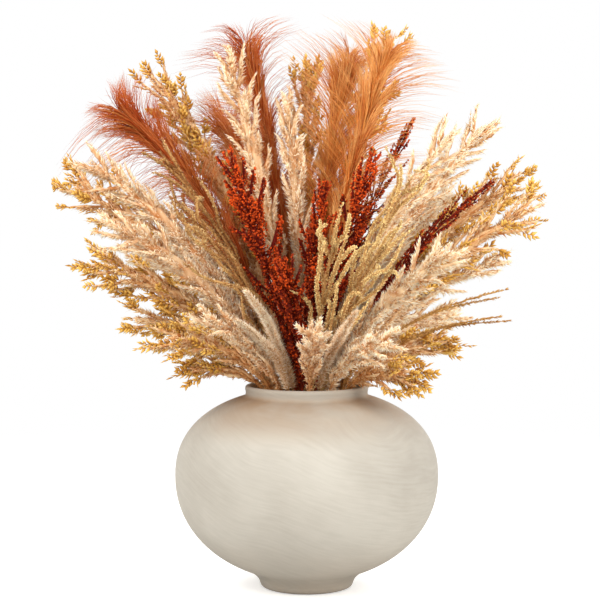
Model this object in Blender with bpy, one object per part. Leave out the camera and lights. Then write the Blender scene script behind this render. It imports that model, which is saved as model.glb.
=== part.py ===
"""Vase of dried flowers: a squat stone-coloured vase, a foam block and 56 dried stems that fan out of it.

Units are metres, +Z is up, the front is -Y, and the origin is the middle of the vase's foot.
Each stem stands in its own hole in the foam, arches outwards and ends in a plume, a seed head or a spray.
"""

import math
import random

import bmesh
import bpy
import numpy as np
from mathutils import Vector

# Vase, measured along its outside
VASE_HEIGHT = 0.2545
BODY_RADIUS = 0.165
BODY_MIDDLE = 0.141
BODY_RISE = 0.109
RISE_POWER = 2.28
BODY_DROP = 0.131
DROP_POWER = 2.1
SHOULDER_RADIUS = 0.084
COLLAR_RADIUS = 0.0775
COLLAR_WAIST = 0.0760
COLLAR_BOTTOM = 0.2405
HEEL_RADIUS = 0.072
FOOT_RADIUS = 0.052
FOOT_NECK = 0.0595
FOOT_HEIGHT = 0.0145
WALL = 0.007
FLOOR_RADIUS = 0.046
FLOOR_HEIGHT = 0.0185
NECK_RADIUS = 0.069
VASE_SEGMENTS = 32

# Foam block and the holes in it
CLEARANCE = 0.0003
FOAM_TOP = 0.2445
FOAM_TOP_RADIUS = 0.0665
FOAM_BOTTOM_RADIUS = 0.040
FOAM_SEGMENTS = 24
SOCKET_FIELD = 0.057
SOCKET_SPACING = 0.0105
SOCKET_DEPTH = 0.034
SOCKET_RADIUS = 0.0024
SOCKET_SIDES = 5
SPLAY = math.tan(math.radians(30)) / SOCKET_FIELD
WIDEST_LEAN = 86

# Stems
STEM_RADIUS = 0.0017
STEM_ROOM = STEM_RADIUS + CLEARANCE
SAMPLE_STEP = 0.006
SPARE = 0.95
FIRST_SEED = 800

# Each kind of head: the room that it wants round its stem, where it starts above the foam, how late its stem
# turns over, and its faces
KINDS = {
    "cream_plume": {
        "spread": 0.050, "start": 0.026, "bend": 0.45, "rows": 8, "sides": 4, "material": "cream_fluff",
    },
    "gold_plume": {
        "spread": 0.048, "start": 0.026, "bend": 0.45, "rows": 7, "sides": 4, "material": "gold_spikelets",
    },
    "hair_plume": {
        "spread": 0.088, "start": 0.110, "bend": 0.60, "rows": 9, "sides": 3, "material": "rust_hair",
    },
    "sorghum": {
        "spread": 0.080, "start": 0.050, "bend": 0.45, "rows": 10, "sides": 5, "material": "sorghum_seed",
    },
    "seed_strands": {
        "spread": 0.046, "start": 0.090, "bend": 0.45, "rows": 6, "sides": 3, "material": "tan_seed",
    },
    "twig": {
        "spread": 0.022, "start": 0.090, "bend": 0.40, "rows": 8, "sides": 3, "material": "tan_twig",
    },
    "soft_tail": {
        "spread": 0.022, "start": 0.034, "bend": 0.40, "rows": 7, "sides": 4, "material": "cream_fluff",
    },
}

# The stems as the florist set them: kind, where the stem ends (x, y, z), and how full the head is
STEMS = [
    # Back row, tall
    ("hair_plume", -0.240, 0.040, 0.600, 0.80),
    ("hair_plume", -0.080, 0.060, 0.685, 0.85),
    ("hair_plume", 0.055, 0.050, 0.670, 1.00),
    ("hair_plume", 0.105, 0.000, 0.675, 1.00),
    ("hair_plume", -0.110, 0.180, 0.585, 1.00),
    ("gold_plume", -0.190, 0.110, 0.635, 1.00),
    ("gold_plume", 0.105, 0.150, 0.675, 1.00),
    ("gold_plume", 0.000, 0.125, 0.635, 1.00),
    ("cream_plume", -0.095, -0.030, 0.655, 1.10),
    ("cream_plume", -0.025, -0.025, 0.605, 1.00),
    # Seed heads and strands in the middle
    ("sorghum", -0.095, -0.105, 0.540, 1.00),
    ("sorghum", -0.030, -0.125, 0.415, 0.80),
    ("sorghum", 0.080, -0.085, 0.540, 1.20),
    ("sorghum", 0.020, -0.070, 0.505, 1.00),
    ("sorghum", 0.135, 0.060, 0.585, 0.50),
    ("sorghum", 0.225, -0.020, 0.505, 0.40),
    ("sorghum", 0.060, 0.190, 0.525, 0.80),
    ("seed_strands", -0.180, -0.040, 0.545, 1.00),
    ("seed_strands", -0.140, -0.130, 0.470, 1.00),
    ("seed_strands", 0.125, -0.120, 0.515, 1.00),
    ("seed_strands", 0.035, -0.155, 0.455, 1.00),
    ("seed_strands", 0.095, -0.165, 0.440, 1.00),
    ("seed_strands", -0.170, 0.140, 0.480, 1.00),
    # Right
    ("cream_plume", 0.225, 0.055, 0.575, 1.00),
    ("cream_plume", 0.170, -0.040, 0.560, 1.10),
    ("gold_plume", 0.270, -0.015, 0.470, 1.00),
    ("gold_plume", 0.260, 0.070, 0.505, 1.00),
    ("cream_plume", 0.240, 0.030, 0.410, 1.00),
    ("cream_plume", 0.165, -0.105, 0.420, 1.10),
    ("cream_plume", 0.095, -0.150, 0.320, 1.00),
    ("gold_plume", 0.165, 0.020, 0.305, 1.00),
    ("gold_plume", 0.115, -0.080, 0.275, 1.00),
    ("twig", 0.240, -0.095, 0.380, 1.00),
    ("twig", 0.235, -0.070, 0.345, 1.00),
    # Left
    ("cream_plume", -0.260, -0.050, 0.530, 1.00),
    ("gold_plume", -0.290, 0.030, 0.500, 1.00),
    ("cream_plume", -0.230, -0.115, 0.455, 1.00),
    ("gold_plume", -0.245, -0.045, 0.405, 1.00),
    ("gold_plume", -0.165, -0.090, 0.320, 1.00),
    ("gold_plume", -0.200, 0.030, 0.335, 1.00),
    ("gold_plume", -0.135, -0.045, 0.280, 0.90),
    ("cream_plume", -0.115, -0.140, 0.345, 1.00),
    # Front, low
    ("soft_tail", -0.080, -0.125, 0.345, 1.00),
    ("soft_tail", -0.070, -0.120, 0.380, 1.00),
    ("soft_tail", 0.055, -0.145, 0.355, 1.00),
    ("cream_plume", 0.010, -0.145, 0.330, 1.00),
    # Back, out of sight from the front
    ("cream_plume", 0.190, 0.160, 0.490, 1.00),
    ("cream_plume", -0.030, 0.250, 0.495, 1.00),
    ("cream_plume", -0.225, 0.130, 0.415, 1.00),
    ("gold_plume", 0.120, 0.240, 0.450, 1.00),
    ("gold_plume", -0.140, 0.225, 0.435, 1.00),
    ("cream_plume", 0.190, 0.110, 0.335, 1.00),
    ("cream_plume", 0.020, 0.195, 0.320, 1.00),
    ("cream_plume", -0.150, 0.115, 0.295, 1.00),
    ("gold_plume", 0.105, 0.155, 0.290, 1.00),
    ("gold_plume", -0.075, 0.170, 0.290, 1.00),
]

COLOURS = {
    "stone": ((0.66, 0.61, 0.52), 0.80),
    "foam": ((0.32, 0.24, 0.14), 0.95),
    "cream_fluff": ((0.80, 0.62, 0.40), 0.90),
    "gold_spikelets": ((0.68, 0.42, 0.14), 0.80),
    "rust_hair": ((0.55, 0.20, 0.07), 0.70),
    "sorghum_seed": ((0.42, 0.07, 0.02), 0.60),
    "tan_seed": ((0.60, 0.42, 0.18), 0.80),
    "tan_twig": ((0.50, 0.32, 0.13), 0.80),
}


def clear_scene():
    for obj in list(bpy.data.objects):
        bpy.data.objects.remove(obj)


def material(name):
    made = bpy.data.materials.get(name)
    if made is None:
        made = bpy.data.materials.new(name)
        made.use_nodes = True
        colour, roughness = COLOURS[name]
        shader = made.node_tree.nodes["Principled BSDF"]
        shader.inputs["Base Color"].default_value = (*colour, 1)
        shader.inputs["Roughness"].default_value = roughness
        shader.inputs["Metallic"].default_value = 0
    return made


def place(bm, name, material_name):
    mesh = bpy.data.meshes.new(name)
    bm.to_mesh(mesh)
    bm.free()
    obj = bpy.data.objects.new(name, mesh)
    bpy.context.scene.collection.objects.link(obj)
    if material_name:
        mesh.materials.append(material(material_name))
    return obj


# Vase


def bulge(radius, half_height, power, start, end, count):
    """Points (radius, height) on a squared-off ellipse about the body's middle, between two radii."""
    first, last = (math.acos((edge / radius) ** (power / 2)) for edge in (start, end))
    angles = [first + (last - first) * i / (count - 1) for i in range(count)]
    return [
        (radius * math.cos(a) ** (2 / power), BODY_MIDDLE + half_height * math.sin(a) ** (2 / power))
        for a in angles
    ]


def outer_profile():
    """From the foot up to the lip."""
    foot = [
        (FOOT_RADIUS, 0.0),
        (FOOT_NECK - 0.0030, 0.0015),
        (FOOT_NECK - 0.0010, 0.0050),
        (FOOT_NECK, 0.0090),
        (FOOT_NECK + 0.0035, FOOT_HEIGHT),
    ]
    below = bulge(BODY_RADIUS, -BODY_DROP, DROP_POWER, HEEL_RADIUS, BODY_RADIUS, 7)
    above = bulge(BODY_RADIUS, BODY_RISE, RISE_POWER, BODY_RADIUS, SHOULDER_RADIUS, 7)
    collar = [
        (COLLAR_WAIST + 0.0020, COLLAR_BOTTOM),
        (COLLAR_WAIST, COLLAR_BOTTOM + 0.004),
        (COLLAR_RADIUS, VASE_HEIGHT - 0.003),
        (COLLAR_RADIUS - 0.0020, VASE_HEIGHT),
    ]
    return foot + below + above[1:] + collar


def inner_profile():
    """From the lip down to the floor."""
    neck = [
        (NECK_RADIUS + 0.0025, VASE_HEIGHT),
        (NECK_RADIUS, VASE_HEIGHT - 0.004),
        (NECK_RADIUS, COLLAR_BOTTOM - 0.003),
    ]
    inside = BODY_RADIUS - WALL
    above = bulge(inside, BODY_RISE - WALL, RISE_POWER, NECK_RADIUS + 0.012, inside, 4)
    below = bulge(inside, WALL - BODY_DROP, DROP_POWER, inside, FLOOR_RADIUS + 0.014, 4)
    return neck + above + below[1:] + [(FLOOR_RADIUS, FLOOR_HEIGHT)]


def make_vase():
    outline = [(0.0, 0.0), *outer_profile(), *inner_profile(), (0.0, FLOOR_HEIGHT)]
    bm = bmesh.new()
    points = [bm.verts.new((radius, 0.0, height)) for radius, height in outline]
    edges = [bm.edges.new(pair) for pair in zip(points, points[1:])]
    bmesh.ops.spin(
        bm, geom=points + edges, cent=(0, 0, 0), axis=(0, 0, 1), angle=math.tau, steps=VASE_SEGMENTS,
        use_merge=True,
    )
    bmesh.ops.remove_doubles(bm, verts=bm.verts, dist=1e-6)
    bmesh.ops.recalc_face_normals(bm, faces=bm.faces)
    vase = place(bm, "vase", "stone")
    vase.data.shade_smooth()
    vase.data.set_sharp_from_angle(angle=math.radians(40))


# Where the stems run


class Spine:
    """A stem's centre line: points a fixed step apart, each with a frame that doesn't twist."""

    def __init__(self, points):
        steps = np.linalg.norm(np.diff(points, axis=0), axis=1)
        along = np.concatenate([[0.0], np.cumsum(steps)])
        self.length = along[-1]
        self.s = np.linspace(0.0, self.length, max(8, round(self.length / SAMPLE_STEP)))
        self.points = np.column_stack([np.interp(self.s, along, points[:, k]) for k in range(3)])
        tangents = np.gradient(self.points, axis=0)
        self.tangents = tangents / np.linalg.norm(tangents, axis=1)[:, None]
        side = np.cross(self.tangents[0], (0.0, 1.0, 0.0))
        normals = []
        for tangent in self.tangents:
            side = side - tangent * side.dot(tangent)
            side = side / np.linalg.norm(side)
            normals.append(side)
        self.normals = np.array(normals)
        self.binormals = np.cross(self.tangents, self.normals)
        self.room = np.zeros(len(self.s))

    def read(self, values, s):
        return np.array([np.interp(s, self.s, values[:, k]) for k in range(3)])

    def spot(self, s, angle, radius):
        """The point that far along the stem and out from it. Past the end it goes straight on."""
        out = math.cos(angle) * self.read(self.normals, s) + math.sin(angle) * self.read(self.binormals, s)
        beyond = max(0.0, s - self.length) * self.tangents[-1]
        return self.read(self.points, s) + beyond + radius * out

    def room_at(self, s):
        """How far from the stem its head may reach at s. Past the end the room closes like a dome."""
        room = float(np.interp(s, self.s, self.room))
        beyond = max(0.0, s - self.length)
        return math.sqrt(max(0.0, room * room - beyond * beyond))

    def ring(self, s, radius, sides, turn=0.0):
        return [self.spot(s, turn + math.tau * i / sides, radius) for i in range(sides)]


def sockets():
    """Where each stem enters the foam: the more it leans, the nearer to the edge, and none near another."""
    spots = []
    for _, x, y, z, _ in STEMS:
        across = math.hypot(x, y)
        lean = math.atan2(across, z - VASE_HEIGHT)
        out = SOCKET_FIELD * math.sin(lean / 2) / math.sin(math.radians(WIDEST_LEAN / 2))
        spots.append([out * x / across, out * y / across])
    spots = np.array(spots)
    for _ in range(400):
        apart = spots[:, None, :] - spots[None, :, :]
        distance = np.linalg.norm(apart, axis=2)
        np.fill_diagonal(distance, 1.0)
        short = np.clip(SOCKET_SPACING - distance, 0.0, None)
        spots += 0.4 * (apart / distance[:, :, None] * short[:, :, None]).sum(axis=1)
        out = np.linalg.norm(spots, axis=1)[:, None]
        spots *= np.minimum(1.0, SOCKET_FIELD / out)
    return spots


def spine_of(stem, socket):
    kind, *end, _ = stem
    entry = np.array([*socket, FOAM_TOP])
    way_in = np.array([*(socket * SPLAY), 1.0])
    way_in = way_in / np.linalg.norm(way_in)
    foot = entry - way_in * SOCKET_DEPTH
    tip = np.array(end)
    knee = entry + way_in * np.linalg.norm(tip - entry) * KINDS[kind]["bend"]
    t = np.linspace(0.0, 1.0, 40)[:, None]
    arch = (1 - t) ** 2 * entry + 2 * t * (1 - t) * knee + t**2 * tip
    return Spine(np.vstack([foot, arch]))


def head_start(kind):
    return SOCKET_DEPTH + KINDS[kind]["start"]


def swell(kind, u):
    """The outline of a head: its share of the full spread at u, from 0 where it starts to 1 at the end."""
    if kind == "hair_plume":
        return 0.30 + 0.70 * math.sin(math.pi * min(0.5, 0.9 * u))
    if kind == "sorghum":
        return math.sin(math.pi * (0.18 + 0.78 * u)) ** 0.8
    if kind == "soft_tail":
        return 0.55 + 0.45 * math.sin(math.pi * min(1.0, 0.15 + 0.85 * u))
    if kind == "gold_plume":
        return 0.35 + 0.65 * math.sin(math.pi * min(1.0, 0.1 + 0.66 * u))
    return 0.40 + 0.60 * math.sin(math.pi * (0.1 + 0.75 * u))


def obstacle():
    """The line, seen from the side, that no head may cross: the foam's top, the lip and the shoulder."""
    lip = [p for p in inner_profile() if p[1] > FOAM_TOP][::-1]
    outside = [p for p in outer_profile() if p[1] > BODY_MIDDLE][::-1]
    return np.array([(0.0, FOAM_TOP), (FOAM_TOP_RADIUS, FOAM_TOP), *lip, *outside])


def distance_to_line(points, line):
    spots = np.column_stack([np.hypot(points[:, 0], points[:, 1]), points[:, 2]])
    best = np.full(len(spots), np.inf)
    for start, end in zip(line, line[1:]):
        edge = end - start
        share = np.clip((spots - start) @ edge / edge.dot(edge), 0.0, 1.0)
        best = np.minimum(best, np.linalg.norm(spots - start - share[:, None] * edge, axis=1))
    return best


def share_room(spines):
    """Splits the space between neighbouring stems by the spread that each head wants."""
    wants = []
    for stem, spine in zip(STEMS, spines):
        start = head_start(stem[0])
        u = np.clip((spine.s - start) / (spine.length - start), 0.0, 1.0)
        wanted = np.array([KINDS[stem[0]]["spread"] * stem[4] * swell(stem[0], x) for x in u])
        easing = np.clip((spine.s - start + 0.020) / 0.020, 0.0, 1.0)
        wants.append(0.0004 + (wanted - STEM_ROOM) * easing)
    line = obstacle()
    for i, spine in enumerate(spines):
        others = np.vstack([s.points for j, s in enumerate(spines) if j != i])
        their_wants = np.concatenate([w for j, w in enumerate(wants) if j != i])
        gaps = np.linalg.norm(spine.points[:, None, :] - others[None, :, :], axis=2) - 2 * STEM_ROOM
        squeeze = (gaps / (wants[i][:, None] + their_wants[None, :])).min(axis=1)
        room = STEM_ROOM + wants[i] * np.clip(squeeze, 0.0, 1.0) * SPARE
        above_foam = spine.points[:, 2] > FOAM_TOP + 0.001
        clear = distance_to_line(spine.points, line) - 2 * CLEARANCE
        spine.room = np.where(above_foam, np.minimum(room, np.maximum(clear, STEM_ROOM)), room)


# Foam


def make_foam(spines):
    bm = bmesh.new()
    holes = bmesh.new()
    bottom = FLOOR_HEIGHT + CLEARANCE
    bmesh.ops.create_cone(
        bm, cap_ends=True, segments=FOAM_SEGMENTS, radius1=FOAM_BOTTOM_RADIUS, radius2=FOAM_TOP_RADIUS,
        depth=FOAM_TOP - bottom,
    )
    bmesh.ops.translate(bm, verts=bm.verts, vec=(0, 0, (FOAM_TOP + bottom) / 2))
    for spine in spines:
        low = spine.points[0] - spine.tangents[0] * CLEARANCE
        high = low + spine.tangents[0] * (SOCKET_DEPTH * 1.45)
        corners = []
        for centre in (low, high):
            frame = [
                math.cos(math.tau * i / SOCKET_SIDES) * spine.normals[0]
                + math.sin(math.tau * i / SOCKET_SIDES) * spine.binormals[0]
                for i in range(SOCKET_SIDES)
            ]
            corners.append([centre + SOCKET_RADIUS * out for out in frame])
        tube(holes, corners)
    cutter = place(holes, "foam_holes", None)
    cutter.hide_render = True
    cutter.display_type = "WIRE"
    foam = place(bm, "foam", "foam")
    cut = foam.modifiers.new("holes", "BOOLEAN")
    cut.operation = "DIFFERENCE"
    cut.object = cutter


# Building heads


def tube(bm, rings):
    """A closed tube through the rings, with flat ends. Returns the vertices of the rings."""
    verts = [[bm.verts.new(p) for p in ring] for ring in rings]
    sides = len(verts[0])
    bm.faces.new(verts[0][::-1])
    for low, high in zip(verts, verts[1:]):
        for i in range(sides):
            bm.faces.new((low[i], low[(i + 1) % sides], high[(i + 1) % sides], high[i]))
    bm.faces.new(verts[-1])
    return verts


def raise_point(bm, face, tip):
    """Pulls the middle of a face out to a point."""
    bmesh.ops.poke(bm, faces=[face])["verts"][0].co = tip


def raise_step(bm, face, centre, size):
    """Draws a face out to centre, there size times as large, and returns it."""
    old = face.calc_center_median()
    moved = bmesh.ops.extrude_discrete_faces(bm, faces=[face])["faces"][0]
    for vert in moved.verts:
        vert.co = Vector(centre) + (vert.co - old) * size
    return moved


def bare_stem(bm, spine, start, sides, turn):
    """The stem from the bottom of its hole to where the head starts. Returns its last ring's vertices."""
    stations = [0.0, SOCKET_DEPTH, SOCKET_DEPTH + 0.5 * (start - SOCKET_DEPTH), start]
    verts = tube(bm, [spine.ring(s, STEM_RADIUS, sides, turn) for s in stations])
    bm.faces.remove(bm.faces.get(verts[-1]))
    return verts[-1]


def build_core(bm, kind, spine, core, draw):
    """The stem, and the head's core on it with a zigzag of faces for the repeats to grow from.

    Returns each of those faces as (face, place along the stem, angle round it, share of the head).
    """
    rows, sides = KINDS[kind]["rows"], KINDS[kind]["sides"]
    start = head_start(kind)
    length = spine.length - start
    turn = draw.uniform(0, math.tau)
    half = math.pi / sides
    low = bare_stem(bm, spine, start, sides, turn)
    found = []
    for j in range(rows):
        here, there = start + length * j / rows, start + length * (j + 1) / rows
        if j == rows - 1:
            there = spine.length + 0.5 * spine.room_at(spine.length)
            tip = bm.verts.new(spine.spot(there, 0.0, 0.0))
            high = [tip] * sides
        else:
            ring = spine.ring(there, core(there, (j + 1) / rows), sides, turn + half * ((j + 1) % 2))
            high = [bm.verts.new(p) for p in ring]
        shift = j % 2
        for i in range(sides):
            face = bm.faces.new((low[i], low[(i + 1) % sides], high[(i + shift) % sides]))
            angle = turn + half * (shift + 1 + 2 * i)
            if j == rows - 1:
                continue
            found.append((face, (2 * here + there) / 3, angle, (j + 0.33) / rows))
            face = bm.faces.new((low[(i + 1 - shift) % sides], high[(i + 1) % sides], high[i]))
            found.append((face, (here + 2 * there) / 3, turn + half * (2 * i + 2 - shift), (j + 0.67) / rows))
        low = high
    return found


def lean_ahead(spine, s, wanted):
    """How far along the stem a branchlet from s leans, and how wide: those near the end are shorter."""
    ahead = min(wanted, spine.length - s + 0.75 * spine.room_at(spine.length))
    return ahead, 0.4 + 0.6 * ahead / wanted


def feather(bm, spine, face, s, angle, wanted, fullness):
    """One branchlet: a tapering point that leans forward to the edge of the head's room."""
    ahead, width = lean_ahead(spine, s, wanted)
    raise_point(bm, face, spine.spot(s + ahead, angle, spine.room_at(s + ahead) * width * fullness))


def make_cream_plume(bm, kind, spine, draw):
    def core(s, u):
        return max(STEM_RADIUS, min(0.010, spine.room_at(s) * 0.32) * (1 - 0.35 * u**3))

    for face, s, angle, u in build_core(bm, kind, spine, core, draw):
        wanted = 0.9 * spine.room_at(s) + 0.006 + 0.030 * u**4
        feather(bm, spine, face, s, angle, wanted, draw.uniform(0.78, 0.98))


def make_gold_plume(bm, kind, spine, draw):
    def core(s, u):
        return max(STEM_RADIUS, min(0.009, spine.room_at(s) * 0.30) * (1 - 0.35 * u**3))

    for face, s, angle, u in build_core(bm, kind, spine, core, draw):
        wanted = 0.9 * spine.room_at(s) + 0.008 + 0.035 * u**4
        out = draw.uniform(0.80, 0.97)
        if u < 0.56 or draw.random() < 0.25:
            feather(bm, spine, face, s, angle, wanted, out)
            continue
        ahead, width = lean_ahead(spine, s, wanted)
        slim = 0.0030 / math.sqrt(face.calc_area())
        for share, swing, size in ((0.55, 0.66, slim), (0.72, 0.80, 2.2)):
            station = s + share * ahead
            centre = spine.spot(station, angle, spine.room_at(station) * width * swing * out)
            face = raise_step(bm, face, centre, size)
        raise_point(bm, face, spine.spot(s + ahead, angle, spine.room_at(s + ahead) * width * out))


def make_hair_plume(bm, kind, spine, draw):
    def core(s, u):
        return max(STEM_RADIUS, 0.0048 * (1 - 0.6 * u))

    for face, s, angle, u in build_core(bm, kind, spine, core, draw):
        ahead, width = lean_ahead(spine, s, 0.078)
        out = width * draw.uniform(0.90, 0.98)
        knee = s + 0.55 * ahead
        low = core(s, u) + 0.001
        bend = spine.spot(knee, angle, low + 0.4 * (spine.room_at(knee) * out - low))
        thin = raise_step(bm, face, bend, 0.5)
        raise_point(bm, thin, spine.spot(s + ahead, angle, spine.room_at(s + ahead) * out))


def make_sorghum(bm, kind, spine, draw):
    lobes = draw.uniform(0, math.tau)

    def core(s, u):
        return max(STEM_RADIUS, spine.room_at(s) * (0.70 - 0.25 * u))

    for face, s, angle, u in build_core(bm, kind, spine, core, draw):
        room = spine.room_at(s + 0.004)
        lobe = 0.82 + 0.16 * math.cos(3 * angle + lobes + 9 * u)
        raise_point(bm, face, spine.spot(min(s + 0.006, spine.length), angle, room * lobe))


def make_seed_strands(bm, kind, spine, draw):
    def core(s, u):
        return max(STEM_RADIUS, 0.0036 * (1 - 0.5 * u))

    for face, s, angle, u in build_core(bm, kind, spine, core, draw):
        if draw.random() < 0.42:
            continue
        ahead, width = lean_ahead(spine, s, 0.064)
        out = width * draw.uniform(0.92, 0.97)
        low = core(s, u) + 0.002
        slim = 0.0040 / math.sqrt(face.calc_area())
        for share, swing, size in ((0.3, 0.35, slim), (0.62, 0.72, 1.25)):
            station = s + share * ahead
            radius = low + swing * (spine.room_at(station) * out - low)
            face = raise_step(bm, face, spine.spot(station, angle, radius), size)
        raise_point(bm, face, spine.spot(s + ahead, angle, spine.room_at(s + ahead) * out))


def make_twig(bm, kind, spine, draw):
    def core(s, u):
        return STEM_RADIUS * (1 - 0.35 * u)

    for n, (face, s, angle, u) in enumerate(build_core(bm, kind, spine, core, draw)):
        if n % 3 == 0:
            feather(bm, spine, face, s, angle, 0.020, draw.uniform(0.7, 0.95))


def make_soft_tail(bm, kind, spine, draw):
    def core(s, u):
        return max(STEM_RADIUS, spine.room_at(s) * 0.5)

    for face, s, angle, u in build_core(bm, kind, spine, core, draw):
        feather(bm, spine, face, s, angle, 0.016, draw.uniform(0.82, 0.98))


MAKERS = {
    "cream_plume": make_cream_plume,
    "gold_plume": make_gold_plume,
    "hair_plume": make_hair_plume,
    "sorghum": make_sorghum,
    "seed_strands": make_seed_strands,
    "twig": make_twig,
    "soft_tail": make_soft_tail,
}


def make_stems(spines):
    count = {}
    for index, (stem, spine) in enumerate(zip(STEMS, spines)):
        kind = stem[0]
        count[kind] = count.get(kind, 0) + 1
        bm = bmesh.new()
        MAKERS[kind](bm, kind, spine, random.Random(FIRST_SEED + index))
        place(bm, f"{kind}_{count[kind]}", KINDS[kind]["material"])


def main():
    clear_scene()
    spines = [spine_of(stem, socket) for stem, socket in zip(STEMS, sockets())]
    share_room(spines)
    make_vase()
    make_foam(spines)
    make_stems(spines)


main()
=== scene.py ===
import math

import bpy
import numpy as np
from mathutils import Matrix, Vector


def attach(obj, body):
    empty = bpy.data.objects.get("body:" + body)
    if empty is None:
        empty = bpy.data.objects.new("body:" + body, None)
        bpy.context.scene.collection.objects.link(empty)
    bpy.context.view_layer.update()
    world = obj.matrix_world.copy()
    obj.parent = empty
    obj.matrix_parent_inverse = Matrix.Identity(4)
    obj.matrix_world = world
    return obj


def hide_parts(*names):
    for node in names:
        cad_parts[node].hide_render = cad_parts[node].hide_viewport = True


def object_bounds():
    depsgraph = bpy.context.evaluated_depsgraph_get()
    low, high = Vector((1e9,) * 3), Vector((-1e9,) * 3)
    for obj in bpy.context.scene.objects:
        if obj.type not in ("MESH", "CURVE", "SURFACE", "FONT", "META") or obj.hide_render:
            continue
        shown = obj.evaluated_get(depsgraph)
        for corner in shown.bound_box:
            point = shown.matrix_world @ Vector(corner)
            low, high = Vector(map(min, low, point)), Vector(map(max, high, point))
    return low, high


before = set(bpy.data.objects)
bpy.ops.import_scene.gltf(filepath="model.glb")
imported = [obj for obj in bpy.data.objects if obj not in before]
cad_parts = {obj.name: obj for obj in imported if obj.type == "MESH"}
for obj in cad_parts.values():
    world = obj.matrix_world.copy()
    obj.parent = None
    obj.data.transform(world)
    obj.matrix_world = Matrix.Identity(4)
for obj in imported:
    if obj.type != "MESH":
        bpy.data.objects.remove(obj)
cadLow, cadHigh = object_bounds()
print("frame loaded with", len(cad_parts), "solids")


# Small helpers
def shade(red, green, blue):
    # a paint-card colour, 0 to 255, as the light it gives back
    parts = np.array([red, green, blue]) / 255
    return [*np.where(parts < 0.04045, parts / 12.92, ((parts + 0.055) / 1.055) ** 2.4).tolist(), 1.0]


def unit(vectors):
    return vectors / np.maximum(np.linalg.norm(vectors, axis=-1, keepdims=True), 1e-12)


def smooth(x):
    x = np.clip(x, 0.0, 1.0)
    return x * x * (3 - 2 * x)


def mix(a, b, share):
    return a + (b - a) * share


def addObject(name, data):
    made = bpy.data.objects.new(name, data)
    bpy.context.scene.collection.objects.link(made)
    return made


# Camera, at the height and distance that the picture was taken from
cameraView = {"place": (-0.0084, -2.4, 0.506), "aimHeight": 0.361, "widthSeen": 0.75, "sensor": 36.0}


def makeCamera(view):
    away = -view["place"][1]
    drop = view["place"][2] - view["aimHeight"]
    data = bpy.data.cameras.new("studioCamera")
    data.sensor_width = view["sensor"]
    data.lens = view["sensor"] * math.hypot(away, drop) / view["widthSeen"]
    camera = addObject("studioCamera", data)
    camera.location = view["place"]
    camera.rotation_euler = (math.pi / 2 - math.atan2(drop, away), 0, 0)
    bpy.context.scene.camera = camera


makeCamera(cameraView)
print("camera set")


# Vase
vaseShape = {
    "height": 0.2545, "bodyRadius": 0.165, "bodyMiddle": 0.141, "rise": 0.109, "risePower": 2.28,
    "drop": 0.131, "dropPower": 2.1, "shoulderRadius": 0.084, "collarRadius": 0.0775, "collarWaist": 0.076,
    "collarBottom": 0.2405, "heelRadius": 0.072, "footRadius": 0.052, "footNeck": 0.0595,
    "footHeight": 0.0145, "wall": 0.007, "floorRadius": 0.046, "floorHeight": 0.0185, "neckRadius": 0.069,
    "around": 132, "curve": 22, "innerCurve": 8, "sharpFrom": 50,
}


def bulge(radius, halfHeight, power, start, end, count):
    # points on a squared-off ellipse about the middle of the body, from one radius to another
    first, last = (math.acos((edge / radius) ** (power / 2)) for edge in (start, end))
    angle = np.linspace(first, last, count)
    across = radius * np.clip(np.cos(angle), 0, 1) ** (2 / power)
    up = vaseShape["bodyMiddle"] + halfHeight * np.clip(np.sin(angle), 0, 1) ** (2 / power)
    return [*zip(across.tolist(), up.tolist())]


def outerProfile(shape, count):
    widest, collar, waist = shape["bodyRadius"], shape["collarRadius"], shape["collarWaist"]
    foot, top, bottom = shape["footNeck"], shape["height"], shape["collarBottom"]
    low = [
        (shape["footRadius"], 0.0), (foot - 0.0030, 0.0015), (foot - 0.0010, 0.0050), (foot, 0.0090),
        (foot + 0.0035, shape["footHeight"]),
    ]
    below = bulge(widest, -shape["drop"], shape["dropPower"], shape["heelRadius"], widest, count)
    above = bulge(widest, shape["rise"], shape["risePower"], widest, shape["shoulderRadius"], count)
    high = [(waist + 0.0020, bottom), (waist, bottom + 0.004), (collar, top - 0.003), (collar - 0.0020, top)]
    return low + below + above[1:] + high


def innerProfile(shape, count):
    wall, neck, floor, top = shape["wall"], shape["neckRadius"], shape["floorRadius"], shape["height"]
    widest = shape["bodyRadius"] - wall
    high = [(neck + 0.0025, top), (neck, top - 0.004), (neck, shape["collarBottom"] - 0.003)]
    above = bulge(widest, shape["rise"] - wall, shape["risePower"], neck + 0.012, widest, count)
    below = bulge(widest, wall - shape["drop"], shape["dropPower"], widest, floor + 0.014, count)
    return high + above + below[1:] + [(floor, shape["floorHeight"])]


def cornersRounded(points, rounds):
    # cuts each corner of a turned profile twice over, which leaves a soft lip and foot
    for _ in range(rounds):
        cut = [points[0]]
        for a, b in zip(points, points[1:]):
            cut += [tuple(mix(np.array(a), np.array(b), 0.25)), tuple(mix(np.array(a), np.array(b), 0.75))]
        points = cut + [points[-1]]
    return points


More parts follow.
